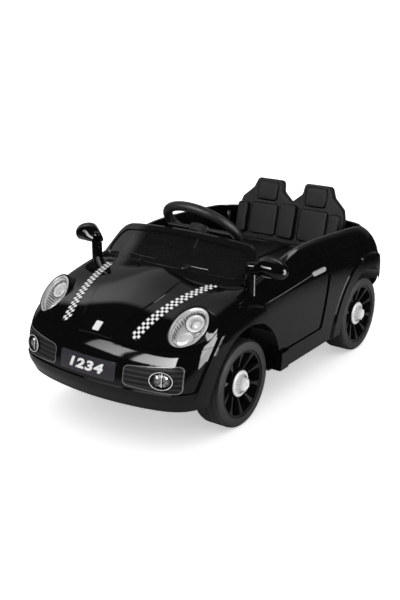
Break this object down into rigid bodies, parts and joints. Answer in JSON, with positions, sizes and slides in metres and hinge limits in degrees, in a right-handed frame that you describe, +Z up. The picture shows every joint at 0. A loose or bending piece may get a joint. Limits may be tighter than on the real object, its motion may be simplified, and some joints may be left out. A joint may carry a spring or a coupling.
{
  "type": "ride-on car",
  "caption": "Child's electric ride-on car with a gloss moulded body, open cockpit and bench seat, column-steered front wheels, folding mirrors, windscreen and drive pedal.",
  "frame": {"origin": "ground under the middle of the overall box", "axes": "+X to the car's left, +Y to the tail (the nose looks along -Y), +Z up"},
  "size_m": [0.6254, 1.0203, 0.4786],
  "materials": {
    "body_gloss": "gloss moulded black",
    "screen_frame": "gloss black frame",
    "smoked_pane": "smoked clear sheet",
    "rim_black": "satin black",
    "tyre_black": "matt black with fine tread",
    "hub_silver": "silver painted",
    "bright_trim": "bright plated plastic",
    "bead_grey": "dull silver line",
    "lamp_reflector": "bright plated reflector",
    "lens_clear": "clear moulded lens",
    "lens_red": "red moulded lens",
    "grille_black": "matt black",
    "badge_white": "plain white",
    "plate_dark": "dark plate",
    "mirror_silver": "silvered sheet",
    "seat_black": "fine grained matt black",
    "floor_black": "matt black moulding",
    "dash_black": "satin black",
    "wheel_black": "satin black grip",
    "horn_grey": "dark grey",
    "button_red": "red",
    "rocker_grey": "grey",
    "pedal_black": "ribbed matt black",
    "steel": "plated steel",
    "beam_painted": "black painted steel",
    "gearbox_white": "pale moulded case",
    "motor_can": "plated can",
    "battery_grey": "dark grey case",
    "strap_black": "matt black strap",
    "bush_white": "natural nylon",
    "control_black": "matt black box",
    "socket_black": "matt black socket"
  },
  "bodies": {
    "chassis": {"battery": "battery_grey", "battery_strap": "strap_black", "body_shell": "body_gloss", "bonnet": "body_gloss", "bonnet_badge": "badge_white", "charging_socket": "socket_black", "column_bush": "bush_white", "control_box": "control_black", "dashboard": "dash_black", "door_handles": "bright_trim", "drive_motor": "motor_can", "floor_tub": "floor_black", "fog_lamp_lenses": "lens_clear", "fog_lamp_rings": "bright_trim", "front_beam": "beam_painted", "front_bumper": "body_gloss", "gearbox": "gearbox_white", "grille_beads": "bead_grey", "grille_inserts": "grille_black", "headlight_bowls": "lamp_reflector", "headlight_lamps": "lamp_reflector", "headlight_lenses": "lens_clear", "headlight_rims": "bright_trim", "king_pins": "steel", "mirror_posts": "body_gloss", "number_plate": "plate_dark", "rear_axle": "steel", "rear_bumper": "body_gloss", "seat_back": "seat_black", "seat_base": "seat_black", "switch_housings": "dash_black", "tail_lamps": "lens_red", "windscreen_frame": "screen_frame", "windscreen_pane": "smoked_pane"},
    "steering": {"steering_wheel": "wheel_black", "steering_column": "steel"},
    "horn": {"horn_button": "horn_grey"},
    "left_knuckle": {"knuckle_left": "steel"},
    "right_knuckle": {"knuckle_right": "steel"},
    "track_rod": {"tie_rod": "steel"},
    "front_left_wheel": {"tyre_front_left": "tyre_black", "rim_front_left": "rim_black", "hub_cap_front_left": "hub_silver"},
    "front_right_wheel": {"tyre_front_right": "tyre_black", "rim_front_right": "rim_black", "hub_cap_front_right": "hub_silver"},
    "rear_left_wheel": {"tyre_rear_left": "tyre_black", "rim_rear_left": "rim_black", "hub_cap_rear_left": "hub_silver", "drive_dog": "gearbox_white"},
    "rear_right_wheel": {"tyre_rear_right": "tyre_black", "rim_rear_right": "rim_black", "hub_cap_rear_right": "hub_silver"},
    "drive_pedal": {"pedal": "pedal_black"},
    "power_switch": {"power_button": "button_red"},
    "direction_switch": {"direction_rocker": "rocker_grey"},
    "left_mirror": {"mirror_head_left": "body_gloss", "mirror_glass_left": "mirror_silver"},
    "right_mirror": {"mirror_head_right": "body_gloss", "mirror_glass_right": "mirror_silver"}
  },
  "joints": [
    {"name": "steering_turn", "type": "hinge", "parent": "chassis", "child": "steering", "pos_m": [0, -0.064, 0.403], "axis": [0, 0.6691, 0.7431], "range_deg": [-36, 36]},
    {"name": "horn_press", "type": "slide", "parent": "steering", "child": "horn", "axis": [0, 0.6691, 0.7431], "range_m": [-0.0018, 0], "stiffness_N_per_m": 400, "springref_m": 0.001},
    {"name": "left_knuckle_steer", "type": "hinge", "parent": "chassis", "child": "left_knuckle", "pos_m": [0.15, -0.244, 0.104], "axis": [0, 0, 1], "range_deg": [-22, 22]},
    {"name": "right_knuckle_steer", "type": "hinge", "parent": "chassis", "child": "right_knuckle", "pos_m": [-0.15, -0.244, 0.104], "axis": [0, 0, 1], "range_deg": [-22, 22]},
    {"name": "track_rod_swing", "type": "hinge", "parent": "left_knuckle", "child": "track_rod", "pos_m": [0.15, -0.199, 0.0812], "axis": [0, 0, 1], "range_deg": [-22, 22]},
    {"name": "front_left_spin", "type": "hinge", "parent": "left_knuckle", "child": "front_left_wheel", "pos_m": [0.208, -0.244, 0.104], "axis": [1, 0, 0], "continuous": true},
    {"name": "front_right_spin", "type": "hinge", "parent": "right_knuckle", "child": "front_right_wheel", "pos_m": [-0.208, -0.244, 0.104], "axis": [1, 0, 0], "continuous": true},
    {"name": "rear_left_spin", "type": "hinge", "parent": "chassis", "child": "rear_left_wheel", "pos_m": [0.208, 0.346, 0.104], "axis": [1, 0, 0], "continuous": true},
    {"name": "rear_right_spin", "type": "hinge", "parent": "chassis", "child": "rear_right_wheel", "pos_m": [-0.208, 0.346, 0.104], "axis": [1, 0, 0], "continuous": true},
    {"name": "pedal_press", "type": "hinge", "parent": "chassis", "child": "drive_pedal", "pos_m": [-0.066, -0.112, 0.092], "axis": [1, 0, 0], "range_deg": [0, 14], "stiffness_Nm_per_rad": 1.5, "springref_deg": -8.59},
    {"name": "power_press", "type": "slide", "parent": "chassis", "child": "power_switch", "axis": [0, -1, 0], "range_m": [0, 0.0022], "stiffness_N_per_m": 400, "springref_m": -0.001},
    {"name": "direction_tilt", "type": "hinge", "parent": "chassis", "child": "direction_switch", "pos_m": [-0.134, -0.109, 0.312], "axis": [1, 0, 0], "range_deg": [-8, 8]},
    {"name": "left_mirror_fold", "type": "hinge", "parent": "chassis", "child": "left_mirror", "pos_m": [0.229, -0.203, 0.357], "axis": [0, 0, 1], "range_deg": [-20, 20]},
    {"name": "right_mirror_fold", "type": "hinge", "parent": "chassis", "child": "right_mirror", "pos_m": [-0.229, -0.203, 0.357], "axis": [0, 0, 1], "range_deg": [-20, 20]}
  ],
  "couplings": [
    {"joint": "left_knuckle_steer", "follows": "steering_turn", "ratio": 0.606},
    {"joint": "right_knuckle_steer", "follows": "steering_turn", "ratio": 0.606},
    {"joint": "track_rod_swing", "follows": "steering_turn", "ratio": -0.606}
  ]
}
